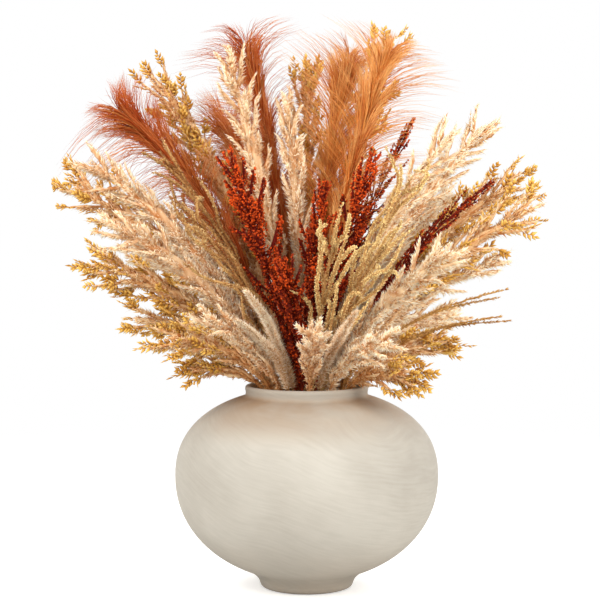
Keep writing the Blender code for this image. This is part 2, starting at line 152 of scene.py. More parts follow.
def makeVase(shape):
    outside = outerProfile(shape, shape["curve"])
    inside = innerProfile(shape, shape["innerCurve"])
    foot, body, lip = outside[:6], outside[6:-5], outside[-5:] + inside[:3]
    profile = np.array([(0.0, 0.0), *cornersRounded(foot, 2), *body, *cornersRounded(lip, 2), *inside[3:]])
    turns = np.arange(shape["around"]) * math.tau / shape["around"]
    rings = np.stack([
        profile[1:, None, 0] * np.cos(turns), profile[1:, None, 0] * np.sin(turns),
        np.broadcast_to(profile[1:, None, 1], (len(profile) - 1, len(turns))),
    ], axis=2)
    points = np.vstack([[(0.0, 0.0, 0.0)], rings.reshape(-1, 3), [(0.0, 0.0, shape["floorHeight"])]])
    grid = 1 + np.arange(rings.shape[0] * rings.shape[1]).reshape(rings.shape[:2])
    after = np.roll(grid, -1, axis=1)
    quads = np.stack([grid[:-1], after[:-1], after[1:], grid[1:]], axis=2).reshape(-1, 4).tolist()
    bottom = [(0, b, a) for a, b in zip(grid[0].tolist(), after[0].tolist())]
    top = [(len(points) - 1, a, b) for a, b in zip(grid[-1].tolist(), after[-1].tolist())]
    mesh = bpy.data.meshes.new("vaseBody")
    mesh.from_pydata(points.tolist(), [], quads + bottom + top)
    mesh.shade_smooth()
    mesh.set_sharp_from_angle(angle=math.radians(shape["sharpFrom"]))
    return addObject("vaseBody", mesh)


# How the stems stand, by kind: where each one ends in millimetres (x, y, z) and how full its head is
stemGroups = [
    ("hair_plume", [
        (-240, 40, 600, 0.8), (-80, 60, 685, 0.85), (55, 50, 670, 1), (105, 0, 675, 1), (-110, 180, 585, 1),
    ]),
    ("gold_plume", [(-190, 110, 635, 1), (105, 150, 675, 1), (0, 125, 635, 1)]),
    ("cream_plume", [(-95, -30, 655, 1.1), (-25, -25, 605, 1)]),
    ("sorghum", [
        (-95, -105, 540, 1), (-30, -125, 415, 0.8), (80, -85, 540, 1.2), (20, -70, 505, 1),
        (135, 60, 585, 0.5), (225, -20, 505, 0.4), (60, 190, 525, 0.8),
    ]),
    ("seed_strands", [
        (-180, -40, 545, 1), (-140, -130, 470, 1), (125, -120, 515, 1), (35, -155, 455, 1),
        (95, -165, 440, 1), (-170, 140, 480, 1),
    ]),
    ("cream_plume", [(225, 55, 575, 1), (170, -40, 560, 1.1)]),
    ("gold_plume", [(270, -15, 470, 1), (260, 70, 505, 1)]),
    ("cream_plume", [(240, 30, 410, 1), (165, -105, 420, 1.1), (95, -150, 320, 1)]),
    ("gold_plume", [(165, 20, 305, 1), (115, -80, 275, 1)]),
    ("twig", [(240, -95, 380, 1), (235, -70, 345, 1)]),
    ("cream_plume", [(-260, -50, 530, 1)]),
    ("gold_plume", [(-290, 30, 500, 1)]),
    ("cream_plume", [(-230, -115, 455, 1)]),
    ("gold_plume", [(-245, -45, 405, 1), (-165, -90, 320, 1), (-200, 30, 335, 1), (-135, -45, 280, 0.9)]),
    ("cream_plume", [(-115, -140, 345, 1)]),
    ("soft_tail", [(-80, -125, 345, 1), (-70, -120, 380, 1), (55, -145, 355, 1)]),
    ("cream_plume", [(10, -145, 330, 1), (190, 160, 490, 1), (-30, 250, 495, 1), (-225, 130, 415, 1)]),
    ("gold_plume", [(120, 240, 450, 1), (-140, 225, 435, 1)]),
    ("cream_plume", [(190, 110, 335, 1), (20, 195, 320, 1), (-150, 115, 295, 1)]),
    ("gold_plume", [(105, 155, 290, 1), (-75, 170, 290, 1)]),
]
stemPlan = [(kind, x / 1000, y / 1000, z / 1000, full) for kind, rows in stemGroups for x, y, z, full in rows]

headKinds = {
    "cream_plume": {"spread": 0.050, "start": 0.026, "bend": 0.45, "finish": "cream_fluff"},
    "gold_plume": {"spread": 0.048, "start": 0.026, "bend": 0.45, "finish": "gold_spikelets"},
    "hair_plume": {"spread": 0.088, "start": 0.110, "bend": 0.60, "finish": "rust_hair"},
    "sorghum": {"spread": 0.080, "start": 0.050, "bend": 0.45, "finish": "sorghum_seed"},
    "seed_strands": {"spread": 0.046, "start": 0.090, "bend": 0.45, "finish": "tan_seed"},
    "twig": {"spread": 0.022, "start": 0.090, "bend": 0.40, "finish": "tan_twig"},
    "soft_tail": {"spread": 0.022, "start": 0.034, "bend": 0.40, "finish": "cream_fluff"},
}

stemSetting = {
    "radius": 0.0017, "gap": 0.0003, "step": 0.006, "spare": 0.95, "foamTop": 0.2445, "foamRadius": 0.0665,
    "field": 0.057, "apart": 0.0105, "depth": 0.034, "splay": 30, "widest": 86, "rounds": 400, "push": 0.4,
    "easing": 0.020, "leastWant": 0.0004,
}
stemSetting["room"] = stemSetting["radius"] + stemSetting["gap"]


class StemLine:
    # a stem's centre line with a frame that doesn't twist, the start and the span of its head, and the room
    # round it that the head may fill. In this file s is a length along a stem from its foot, u a share of its
    # head and t a share of any other path
    def __init__(self, points, start):
        steps = np.linalg.norm(np.diff(points, axis=0), axis=1)
        along = np.concatenate([[0.0], np.cumsum(steps)])
        self.length = along[-1]
        self.start, self.span = start, self.length - start
        self.s = np.linspace(0.0, self.length, max(8, round(self.length / stemSetting["step"])))
        self.points = np.column_stack([np.interp(self.s, along, points[:, k]) for k in range(3)])
        self.tangents = unit(np.gradient(self.points, axis=0))
        side = np.cross(self.tangents[0], (0.0, 1.0, 0.0))
        normals = []
        for tangent in self.tangents:
            side = unit(side - tangent * side.dot(tangent))
            normals.append(side)
        self.normals = np.array(normals)
        self.binormals = np.cross(self.tangents, self.normals)
        self.room = np.zeros(len(self.s))

    def read(self, values, s):
        return np.stack([np.interp(s, self.s, values[:, k]) for k in range(3)], axis=-1)

    def spot(self, s, angle, radius):
        # s, angle and radius are arrays of one shape; past the end the line goes straight on
        s, angle, radius = np.broadcast_arrays(s, angle, radius)
        out = np.cos(angle)[..., None] * self.read(self.normals, s)
        out = out + np.sin(angle)[..., None] * self.read(self.binormals, s)
        beyond = np.maximum(0.0, s - self.length)[..., None] * self.tangents[-1]
        return self.read(self.points, s) + beyond + radius[..., None] * out

    def centre(self, s):
        return self.spot(s, 0.0, 0.0)[None]

    def roomAt(self, s):
        room = np.interp(s, self.s, self.room)
        beyond = np.maximum(0.0, s - self.length)
        return np.sqrt(np.maximum(0.0, room * room - beyond * beyond))


def foamHoles():
    # the more a stem leans, the nearer it stands to the edge of the foam. Then those that are too close push
    # each other apart
    spots = []
    for _, x, y, z, _ in stemPlan:
        across = math.hypot(x, y)
        lean = math.atan2(across, z - vaseShape["height"])
        out = stemSetting["field"] * math.sin(lean / 2) / math.sin(math.radians(stemSetting["widest"] / 2))
        spots.append([out * x / across, out * y / across])
    spots = np.array(spots)
    for _ in range(stemSetting["rounds"]):
        apart = spots[:, None, :] - spots[None, :, :]
        distance = np.linalg.norm(apart, axis=2)
        np.fill_diagonal(distance, 1.0)
        short = np.clip(stemSetting["apart"] - distance, 0.0, None)
        spots += stemSetting["push"] * (apart / distance[:, :, None] * short[:, :, None]).sum(axis=1)
        out = np.linalg.norm(spots, axis=1)[:, None]
        spots *= np.minimum(1.0, stemSetting["field"] / out)
    return spots


def stemLine(stem, hole):
    kind, *end, _ = stem
    entry = np.array([*hole, stemSetting["foamTop"]])
    lean = math.tan(math.radians(stemSetting["splay"])) / stemSetting["field"]
    wayIn = unit(np.array([*(hole * lean), 1.0]))
    foot = entry - wayIn * stemSetting["depth"]
    tip = np.array(end)
    knee = entry + wayIn * np.linalg.norm(tip - entry) * headKinds[kind]["bend"]
    t = np.linspace(0.0, 1.0, 40)[:, None]
    points = np.vstack([foot, (1 - t) ** 2 * entry + 2 * t * (1 - t) * knee + t**2 * tip])
    return StemLine(points, stemSetting["depth"] + headKinds[kind]["start"])


def swell(kind, u):
    # how wide a head of each kind is at share u of its length, against its widest
    if kind == "hair_plume":
        return 0.30 + 0.70 * np.sin(math.pi * np.minimum(0.5, 0.9 * u))
    if kind == "sorghum":
        return np.sin(math.pi * (0.18 + 0.78 * u)) ** 0.8
    if kind == "soft_tail":
        return 0.55 + 0.45 * np.sin(math.pi * np.minimum(1.0, 0.15 + 0.85 * u))
    if kind == "gold_plume":
        return 0.35 + 0.65 * np.sin(math.pi * np.minimum(1.0, 0.1 + 0.66 * u))
    return 0.40 + 0.60 * np.sin(math.pi * (0.1 + 0.75 * u))


def rimLine():
    # the vase's upper half and the foam's top, as one line from the axis out
    top = stemSetting["foamTop"]
    lip = [p for p in innerProfile(vaseShape, 4) if p[1] > top][::-1]
    outside = [p for p in outerProfile(vaseShape, 7) if p[1] > vaseShape["bodyMiddle"]][::-1]
    return np.array([(0.0, top), (stemSetting["foamRadius"], top), *lip, *outside])


def distanceToLine(points, line):
    spots = np.column_stack([np.hypot(points[:, 0], points[:, 1]), points[:, 2]])
    best = np.full(len(spots), np.inf)
    for start, end in zip(line, line[1:]):
        edge = end - start
        share = np.clip((spots - start) @ edge / edge.dot(edge), 0.0, 1.0)
        best = np.minimum(best, np.linalg.norm(spots - start - share[:, None] * edge, axis=1))
    return best


def shareRoom(lines):
    # the space between neighbouring stems is split by the spread that each head wants
    bare, ease, wants = stemSetting["room"], stemSetting["easing"], []
    for (kind, *_, full), line in zip(stemPlan, lines):
        u = np.clip((line.s - line.start) / line.span, 0.0, 1.0)
        wanted = headKinds[kind]["spread"] * full * swell(kind, u)
        easing = np.clip((line.s - line.start + ease) / ease, 0.0, 1.0)
        wants.append(stemSetting["leastWant"] + (wanted - bare) * easing)
    rim = rimLine()
    for i, line in enumerate(lines):
        others = np.vstack([other.points for j, other in enumerate(lines) if j != i])
        theirWants = np.concatenate([w for j, w in enumerate(wants) if j != i])
        gaps = np.linalg.norm(line.points[:, None, :] - others[None, :, :], axis=2) - 2 * bare
        squeeze = (gaps / (wants[i][:, None] + theirWants[None, :])).min(axis=1)
        room = bare + wants[i] * np.clip(squeeze, 0.0, 1.0) * stemSetting["spare"]
        clear = distanceToLine(line.points, rim) - 2 * stemSetting["gap"]
        aboveFoam = line.points[:, 2] > stemSetting["foamTop"] + 0.001
        line.room = np.where(aboveFoam, np.minimum(room, np.maximum(clear, bare)), room)


# Mesh making: many small swept pieces at once. Each point keeps a tone, dark to light, and how far it is from
# root to tip in the band of its kind
bands = {"stalk": 0, "fluff": 1, "leaf": 2}
goldenAngle = 2.39996
pastBox = {"least": 0.008, "share": 0.02}


def placeIn(band, along):
    return (bands[band] + 0.04 + 0.92 * np.clip(along, 0.0, 1.0)) / 3


class Bundle:
    def __init__(self, seed):
        self.draw = np.random.default_rng(seed)
        self.points, self.faces, self.marks = [], [], []
        self.count = 0

    def sweep(self, path, size, tone, band, along, sides=3, pointed=False, flat=1.0, wideWay=None, mottle=0.0,
              rough=0.0):
        # path is (many, steps, 3) and its last step is a point; size is the half width at each step, flat the
        # depth as a share of it and wideWay the direction of the width; mottle is how far the tone wanders
        # over a piece, and rough is how uneven its surface is
        many, steps = path.shape[:2]
        size, along = (np.broadcast_to(x, (many, steps)) for x in (size, along))
        tone = np.broadcast_to(np.clip(tone, 0.02, 0.98), many)
        place = placeIn(band, along)
        tangent = unit(np.gradient(path, axis=1))
        helper = unit(self.draw.normal(size=(many, 1, 3))) if wideWay is None else wideWay
        across = unit(helper - tangent * (helper * tangent).sum(2, keepdims=True))
        up = np.cross(tangent, across)
        turn = np.arange(sides) * math.tau / sides
        first = 1 if pointed else 0
        rings = slice(first, steps - 1)
        ring = (size[:, rings, None] * np.cos(turn))[..., None] * across[:, rings, None]
        ring = ring + (flat * size[:, rings, None] * np.sin(turn))[..., None] * up[:, rings, None]
        deep = ring.shape[1]
        if rough:
            ring = ring * (1 + rough * self.draw.normal(size=(many, deep, sides, 1)))
        ring = path[:, rings, None] + ring
        parts = [ring.reshape(many, -1, 3), path[:, -1:]]
        tones = tone[:, None, None] + 0.006 * np.linspace(-1, 1, sides)
        tones = np.clip(tones + mottle * self.draw.normal(size=(many, deep, sides)), 0.01, 0.99)
        marks = [
            np.stack([tones.reshape(many, -1), np.repeat(place[:, rings], sides, axis=1)], axis=2),
            np.stack([tone, place[:, -1]], axis=1)[:, None],
        ]
        if pointed:
            parts.insert(0, path[:, :1])
            marks.insert(0, np.stack([tone, place[:, 0]], axis=1)[:, None])
        grid = first + np.arange(deep * sides).reshape(deep, sides)
        after = np.roll(grid, -1, axis=1)
        tip = first + deep * sides
        faces = [np.stack([grid[-1], after[-1], np.full(sides, tip)], axis=1)]
        if deep > 1:
            low, lowNext, high, highNext = grid[:-1], after[:-1], grid[1:], after[1:]
            faces.append(np.stack([low, lowNext, highNext], axis=2).reshape(-1, 3))
            faces.append(np.stack([low, highNext, high], axis=2).reshape(-1, 3))
        if pointed:
            faces.append(np.stack([np.zeros(sides, int), after[0], grid[0]], axis=1))
        faces = np.vstack(faces)
        each = tip + 1
        offsets = self.count + each * np.arange(many)
        self.points.append(np.concatenate(parts, axis=1).reshape(-1, 3))
        self.marks.append(np.concatenate(marks, axis=1).reshape(-1, 2))
        self.faces.append((faces[None] + offsets[:, None, None]).reshape(-1, 3))
        self.count += each * many

    def make(self, name, look):
        points, faces, marks = (np.concatenate(x) for x in (self.points, self.faces, self.marks))
        # tips that reach past the solids' box are drawn in, the more the further out they are
        low, high = np.array(cadLow), np.array(cadHigh)
        spare = pastBox["least"] + pastBox["share"] * (high - low)
        beyond = points - np.clip(points, low, high)
        points = points - beyond + np.sign(beyond) * spare * (1 - np.exp(-np.abs(beyond) / spare))
        mesh = bpy.data.meshes.new(name)
        mesh.vertices.add(len(points))
        mesh.vertices.foreach_set("co", points.astype(np.float32).ravel())
        mesh.loops.add(faces.size)
        mesh.loops.foreach_set("vertex_index", faces.astype(np.int32).ravel())
        mesh.polygons.add(len(faces))
        mesh.polygons.foreach_set("loop_start", np.arange(0, faces.size, 3, dtype=np.int32))
        mesh.update(calc_edges=True)
        mesh.shade_smooth()
        layer = mesh.uv_layers.new(name="OFBake")
        layer.uv.foreach_set("vector", marks[faces.ravel()].astype(np.float32).ravel())
        mesh.materials.append(look)
        return addObject(name, mesh)


def onPath(path, which, t):
    # the point and the direction at share t of each chosen path
    steps = path.shape[1] - 1
    at = np.clip(t, 0.0, 0.999) * steps
    low = at.astype(int)
    a, b = path[which, low], path[which, low + 1]
    return a + (b - a) * (at - low)[:, None], unit(b - a)


def aside(draw, direction):
    # a random direction square to each given one
    helper = draw.normal(size=direction.shape)
    return unit(helper - direction * (helper * direction).sum(-1, keepdims=True))


def goldenTurns(draw, many, loose):
    # turns round a stem by the golden angle, each a little off
    return np.arange(many) * goldenAngle + draw.uniform(-loose, loose, many)


def spacedOut(draw, many):
    # shares from 0 to 1, one at random from each of many equal steps
    return (np.arange(many) + draw.uniform(0, 1, many)) / many


def stalk(bundle, line, thin):
    s = np.concatenate([[0.0, 0.0008], np.linspace(0.006, line.length, 26)])
    along = s / line.length
    size = mix(stemSetting["radius"], thin, smooth(along))
    bundle.sweep(line.centre(s), size, 0.4, "stalk", along, 6, pointed=True)


def branchlets(line, s, angle, ahead, out, low, power, twist, steps):
    # curved paths that leave the stem at s and lean forward until they are out from it
    t = np.linspace(0.0, 1.0, steps)[None, :]
    radius = low[:, None] + np.maximum(out - low, 0.0)[:, None] * t**power
    return line.spot(s[:, None] + ahead[:, None] * t, angle[:, None] + twist[:, None] * t, radius)


def aheadOf(line, s, wanted):
    # near the end of a stem the branchlets are shorter and stand closer
    ahead = np.minimum(wanted, line.length - s + 0.75 * line.roomAt(line.length))
    return ahead, 0.4 + 0.6 * ahead / wanted


def turnedOut(line, root, outward, least=0.0):
    # what grows on the inner side of a head is turned to its outer side, where it shows
    nearest = np.linalg.norm(root[:, None] - line.points[None], axis=2).argmin(axis=1)
    away = unit(root - line.points[nearest])
    into = (outward * away).sum(axis=1)
    return unit(outward - 2 * np.where(into < least, into, 0.0)[:, None] * away)


def fibres(bundle, path, body, count, fibre, tone, line=None, crowd=1.0):
    # tapering hairs or florets all over the branchlets. body is the half size of the branchlet under them,
    # fibre gives the ranges of their length, half width and lift in degrees, and crowd is how thickly each
    # branchlet is set. Where a stem's line is given, they stand on the outer side
    draw, (length, thick, lift) = bundle.draw, fibre
    sizes = np.linalg.norm(path[:, 1:] - path[:, :-1], axis=2).sum(axis=1) * crowd
    which = draw.choice(len(path), size=count, p=sizes / sizes.sum())
    spots, bodySpots = np.linspace(0, 1, 60), np.linspace(0, 1, len(body))
    share = np.cumsum(np.interp(spots, bodySpots, body) + 0.0010)
    t = np.interp(draw.uniform(share[0], share[-1], count), share, spots)
    root, heading = onPath(path, which, t)
    outward = aside(draw, heading)
    if line is not None:
        outward = turnedOut(line, root, outward)
    under = np.interp(t, bodySpots, body)
    tilt = np.radians(draw.uniform(*lift, size=count) * mix(1.0, 0.5, t**2))
    way = np.cos(tilt)[:, None] * heading + np.sin(tilt)[:, None] * outward
    size = draw.uniform(*length, size=count) * mix(1.0, 0.75, t)
    root = root + outward * (0.8 * under)[:, None]
    wide = draw.uniform(*thick, size=count)[:, None]
    shadeOf = np.clip(tone(root, t) + draw.normal(0, 0.10, len(path))[which], 0.0, 1.0)
    trail = np.stack([root, root + way * size[:, None]], axis=1)
    bundle.sweep(trail, wide, shadeOf, "fluff", (0.0, 1.0))


# the husks' low tone is painted shade down by the foam
sheathHusks = {"husks": 110, "husk": ((0.007, 0.014), (0.0007, 0.0013), (8, 42)), "tone": 0.25}


def sheath(bundle, line):
    # dry husks round the bare foot of a stem, where it comes out of the foam; their low tone is painted shade
    # at the foot of the bouquet
    path = line.centre(np.linspace(stemSetting["depth"] + 0.005, line.start + 0.012, 6))

    def tone(root, t):
        return sheathHusks["tone"] + bundle.draw.normal(0, 0.15, len(root))

    fibres(bundle, path, np.full(6, stemSetting["radius"]), sheathHusks["husks"], sheathHusks["husk"], tone)


def grains(bundle, root, heading, size, tone):
    # little round seeds, a touch longer than wide
    half = heading * (1.15 * size)[:, None]
    path = np.stack([root - half, root, root + half], axis=1)
    bundle.sweep(path, size[:, None], tone, "fluff", (0.1, 0.5, 0.9), pointed=True)


def sprays(bundle, path, count, setting):
    # flat little twigs of pointed leaflets set alternately, as on a fern
    draw, leaves = bundle.draw, setting["leaves"]
    which = draw.integers(0, len(path), count)
    t = draw.uniform(*setting["sprayPlace"], size=count)
    root, heading = onPath(path, which, t)
    outward = aside(draw, heading)
    tilt = np.radians(draw.uniform(*setting["sprayTilt"], count) * mix(1.0, 0.35, t))[:, None]
    way = unit(np.cos(tilt) * heading + np.sin(tilt) * outward)
    side = aside(draw, way)
    face = np.cross(way, side)
    long = draw.uniform(*setting["sprayLength"], size=count)[:, None]
    twig = root[:, None] + way[:, None] * long[:, None] * np.array([0.0, 0.6, 1.0])[None, :, None]
    tones = draw.uniform(*setting["leafTone"], count)
    bundle.sweep(twig, (0.00045, 0.00035, 0.0002), tones * 0.6, "leaf", (0.0, 0.1, 0.2))
    for number in range(leaves):
        share = number / (leaves - 1)
        foot = root + way * long * (0.12 + 0.80 * share)
        hand = 0.0 if number == leaves - 1 else 1.0 if number % 2 else -1.0
        swing = np.radians(draw.uniform(*setting["leafSwing"], count))[:, None] * hand
        size = draw.uniform(*setting["leafLength"], size=count)[:, None] * (1.0 - 0.25 * share)
        towards = np.cos(swing) * way + np.sin(swing) * side + 0.15 * draw.normal(size=(count, 1)) * face
        tip = foot + unit(towards) * size
        middle = mix(foot, tip, 0.42) - 0.05 * size * hand * side
        leaf = np.stack([foot, middle, tip], axis=1)
        wide = draw.uniform(*setting["leafWidth"], size=count)[:, None]
        light = tones + draw.normal(0, 0.10, count)
        bundle.sweep(leaf, wide, light, "leaf", (0.1, 0.5, 1.0), 4, True, 0.4, side[:, None])


def patchy(seed, size):
    # a slow change of tone over a head, so that no two parts of it match
    draw = np.random.default_rng(seed)
    waves = draw.normal(size=(5, 3)) * math.tau / size
    phases = draw.uniform(0, math.tau, 5)

    def at(points):
        return np.sin(points @ waves.T + phases).mean(axis=1)

    return at


def rimShade(height, reach):
    # 1 down at the rim of the vase and 0 from reach above it: how much painted shade darkens what grows near
    # the rim
    return 1 - smooth((height - vaseShape["height"]) / reach)


def nearStalkShade(line, root, reach):
    # 1 at the stalk and 0 from reach outward: how much painted shade darkens florets close to the stalk
    nearest = np.array([np.linalg.norm(line.points - point, axis=1).min() for point in root])
    return 1 - smooth(nearest / reach)


def wander(draw, many, steps, size):
    # slow sideways bends, none at the root and most at the tip
    knots = size * draw.normal(size=(many, 4, 3))
    blends = np.array([np.interp(np.linspace(0, 3, steps), range(4), np.eye(4)[k]) for k in range(4)])
    return np.einsum("ski,kj->sji", knots, blends) * np.linspace(0.0, 1, steps)[None, :, None]


def skinOf(line):
    # how much outside a head has, in square metres
    s = np.linspace(line.start, line.length, 40)
    return (math.tau * line.roomAt(s)).mean() * line.span


# Cream plumes: fluffy columns that lean out from a soft middle, all under florets and finer hair
creamHead = {
    "column": 0.00088, "fewest": 16, "most": 54, "ahead": 0.041, "aheadSpread": (0.75, 1.2),
    "outSpread": (0.55, 0.95), "twist": 0.35, "wander": 0.0018, "body": 0.0029, "bodySpread": (0.7, 1.3),
    "core": 0.34, "coreEnds": (3.0, 2.6), "below": 0.022, "stalk": 0.0008, "florets": 5.9, "coreFlorets": 3.6,
    "floret": ((0.0050, 0.0088), (0.0009, 0.0014), (28, 82)), "finerHair": 0.32,
    "hair": ((0.008, 0.0125), (0.00015, 0.00026), (28, 82)), "flecks": 0.04, "tone": 0.78, "tallTone": 0.66,
    # some of these set painted light on the right-hand plumes, and painted shade down by the rim and close to
    # the stalk
    "tallFrom": 0.62, "paintedLightRight": 0.33, "paintedLightFrom": 0.02, "shade": 0.48, "shadeHeight": 0.07, "inner": 0.22,
    "stalkShadeReach": 0.018, "patches": 0.09, "patchy": 0.22, "mixed": 0.22,
}


def fluffyHead(bundle, line, setting, seed):
    # makes the soft middle and the columns, and gives the columns back for what else grows on them
    draw, steps, rings = bundle.draw, 11, 34
    skin = skinOf(line)
    many = int(np.clip(skin / setting["column"], setting["fewest"], setting["most"]))
    s = line.start + line.span * (np.arange(many) + draw.uniform(0.1, 0.9, many)) / many - 0.006
    angle = goldenTurns(draw, many, setting["twist"])
    longest = min(setting["ahead"], 0.6 * line.span)
    ahead, width = aheadOf(line, s, longest * draw.uniform(*setting["aheadSpread"], many))
    out = line.roomAt(s + ahead) * width * draw.uniform(*setting["outSpread"], many)
    low = np.minimum(line.roomAt(s) * 0.3, 0.002)
    twist = draw.uniform(-setting["twist"], setting["twist"], many)
    path = branchlets(line, s, angle, ahead, out, low, 0.85, twist, steps)
    path = path + wander(draw, many, steps, setting["wander"])
    taper = np.interp(np.linspace(0, 1, steps), [0, 0.2, 0.5, 0.8, 1], [0.8, 1.0, 0.95, 0.65, 0.2])
    body = setting["body"] * taper
    sizes = body * draw.uniform(*setting["bodySpread"], (many, steps))
    # the columns run from the darker root colours at their foot, which are painted shade, to lighter ones
    tones, along = draw.uniform(0.3, 0.6, many), np.linspace(0.15, 0.55, steps)
    bundle.sweep(path, sizes, tones, "fluff", along, 4, flat=0.9, mottle=0.30, rough=0.22)
    s = np.linspace(line.start - setting["below"], line.length + 0.004, rings)
    core = line.centre(s)
    low, high = setting["coreEnds"]
    ends = smooth(np.linspace(0.0, low, rings) + 0.15) * smooth(np.linspace(high, 0.02, rings))
    thick = np.maximum(setting["core"] * line.roomAt(s) * ends, 0.0020)
    # down by the rim the soft middle takes the darker root colours: painted shade
    along = 0.25 * (1 - rimShade(core[..., 2], setting["shadeHeight"]))
    bundle.sweep(core, thick, 0.42, "fluff", along, 13, mottle=0.38, rough=0.18)
    wave = patchy(seed, setting["patches"])
    base = setting["tallTone"] if line.points[-1, 2] > setting["tallFrom"] else setting["tone"]
    # plumes that end right of the middle are made lighter: painted light, as if that side caught more light
    base = base + setting["paintedLightRight"] * (line.points[-1, 0] > setting["paintedLightFrom"])

    def tone(root, t):
        # florets lower on the path they grow from are darker, and so are those down by the rim and close to
        # the stalk: painted shade. The waves and the random spread are the plume's own tone
        light = base + setting["patchy"] * wave(root) + 0.20 * (t - 0.5)
        light = light + draw.normal(0, setting["mixed"], len(root))
        light = light - setting["shade"] * rimShade(root[:, 2], setting["shadeHeight"])
        light = light - setting["inner"] * nearStalkShade(line, root, setting["stalkShadeReach"])
        return np.where(draw.random(len(root)) < setting["flecks"], 0.0, light)

    crowd = 0.35 + 0.65 * smooth((np.linspace(0, 1, many) * line.span + 0.02) / 0.12)
    fluff(bundle, path, body, setting, setting["florets"] * skin * 1e4, tone, line, crowd)
    fluff(bundle, core, thick, setting, setting["coreFlorets"] * skin * 1e4, tone)
    return path, skin


def fluff(bundle, path, body, setting, count, tone, line=None, crowd=1.0):
    # count is how many florets; a share more of finer hair stands between them
    fibres(bundle, path, body, int(count), setting["floret"], tone, line, crowd)
    fibres(bundle, path, body, int(setting["finerHair"] * count), setting["hair"], tone, line, crowd)


def makeCream(bundle, line, seed):
    fluffyHead(bundle, line, creamHead, seed)
    stalk(bundle, line, creamHead["stalk"])


# Gold-tipped plumes: the same fluff, thinner, with sprays of narrow leaflets on its outer part
goldHead = {
    **creamHead, "ahead": 0.048, "body": 0.0025, "core": 0.36, "florets": 3.9, "coreFlorets": 2.3,
    # the right-hand plumes' lift in tone below is painted light
    "flecks": 0.06, "tone": 0.56, "tallTone": 0.24, "paintedLightRight": 0.15, "bare": 0.25, "fewestSprays": 18,
    "sprays": 0.20, "sprayPlace": (0.35, 1.0), "sprayTilt": (8, 55), "sprayLength": (0.014, 0.024),
    "leaves": 7, "leafLength": (0.0085, 0.0140), "leafWidth": (0.0018, 0.0027), "leafSwing": (30, 48),
    "leafTone": (0.15, 0.95),
}


def makeGold(bundle, line, seed):
    setting = goldHead
    path, skin = fluffyHead(bundle, line, setting, seed)
    stalk(bundle, line, setting["stalk"])
    count = int(setting["fewestSprays"] + setting["sprays"] * skin * 1e4)
    sprays(bundle, path[int(len(path) * setting["bare"]):], count, setting)


# Hair plumes: long locks that taper together, and combs of looser hair that arch away from the stalk.
# Their lights, sags and widths are one for each plume, in the order of the stems
hairHead = {
    "locks": 26, "perLock": 57, "lockStretch": 0.055, "lockAhead": (0.085, 0.125), "lockReach": (0.20, 1.0),
    "lockCurl": 0.3, "lockSag": 0.10, "thick": (0.00030, 0.00048), "least": 0.034,
    "combs": 46, "perComb": 11, "combAhead": (0.075, 0.115), "combReach": (0.052, 0.104),
    "combThick": (0.00030, 0.00042), "stalk": 0.0006, "patches": 0.10,
    "lights": (0.06, 0.16, 0.90, 0.86, 0.30), "sags": (0.34, 0.28, 0.10, 0.12, 0.22),
    "wider": (1.06, 1.05, 1.22, 1.26, 1.0),
}


def hairs(bundle, line, s, angle, ahead, out, curl, thick, steps, light, sag, towards=0.0):
    # each hair leaves the stalk at s and ends out from it; curl bends it outward late, and towards turns it
    draw = bundle.draw
    many = len(s)
    t = np.linspace(0.0, 1.0, steps)[None, :]
    grow = mix(0.8 * t + 0.2 * t**2, 0.22 * t + 0.78 * t**2, curl)
    radius = 0.0010 + np.maximum(out - 0.0010, 0.0)[:, None] * grow
    turn = angle[:, None] + (towards + draw.normal(0, 0.18, many))[:, None] * t
    path = line.spot(s[:, None] + ahead[:, None] * (t - 0.25 * curl * t**2), turn, radius)
    path[..., 2] -= sag * out[:, None] * t**3
    wide = draw.uniform(*thick, many)[:, None] * np.interp(t, [0, 0.5, 1], [1.0, 0.9, 0.2])
    bundle.sweep(path, wide, light(path[:, 1]) + draw.normal(0, 0.20, many), "fluff", t)


def makeHair(bundle, line, seed):
    setting, draw = hairHead, bundle.draw
    wave = patchy(seed, setting["patches"])
    light, sag, wider = (setting[name][seed] for name in ("lights", "sags", "wider"))
    stalk(bundle, line, setting["stalk"])
    locks = setting["locks"]
    u = spacedOut(draw, locks)
    which = np.repeat(np.arange(locks), setting["perLock"])
    many = len(which)
    along = draw.uniform(-0.5, 0.5, many) * setting["lockStretch"]
    s = line.start + line.span * (0.02 + 0.93 * u[which]) + along
    s = np.clip(s, line.start - 0.005, line.length - 0.004)
    ends = line.start + line.span * (0.02 + 0.93 * u) + draw.uniform(*setting["lockAhead"], locks)
    ends = np.minimum(ends, line.length + draw.uniform(0.2, 0.8, locks) * line.roomAt(line.length))
    ahead = np.maximum(ends[which] - s, 0.02) * draw.uniform(0.80, 1.04, many)
    middle = goldenTurns(draw, locks, 0.4)[which]
    angle = middle + draw.normal(0, 0.55, many)
    room = np.maximum(line.roomAt(np.minimum(ends, line.length)), setting["least"])
    out = (room * draw.uniform(*setting["lockReach"], locks))[which] * draw.uniform(0.80, 1.12, many)
    hairs(
        bundle, line, s, angle, ahead, out, setting["lockCurl"], setting["thick"], 4,
        lambda x: light + 0.25 * wave(x), setting["lockSag"], (middle - angle) * 0.75,
    )
    combs = setting["combs"]
    u = spacedOut(draw, combs)
    which = np.repeat(np.arange(combs), setting["perComb"])
    many = len(which)
    place = draw.uniform(-1, 1, many)
    s = line.start + line.span * np.clip(0.25 + 0.74 * u[which] + 0.045 * place, 0.0, 0.995)
    angle = goldenTurns(draw, combs, 0.4)[which] + draw.normal(0, 0.13, many)
    wanted = draw.uniform(*setting["combAhead"], combs)[which] * draw.uniform(0.92, 1.06, many)
    ahead, width = aheadOf(line, s, wanted)
    out = draw.uniform(*setting["combReach"], combs)[which] * draw.uniform(0.85, 1.08, many) * width * wider
    hairs(
        bundle, line, s, angle, ahead, out, 0.45 + 1.6 * sag, setting["combThick"], 5,
        lambda x: 0.12 + 0.5 * light + 0.2 * wave(x), sag,
    )
    sheath(bundle, line)


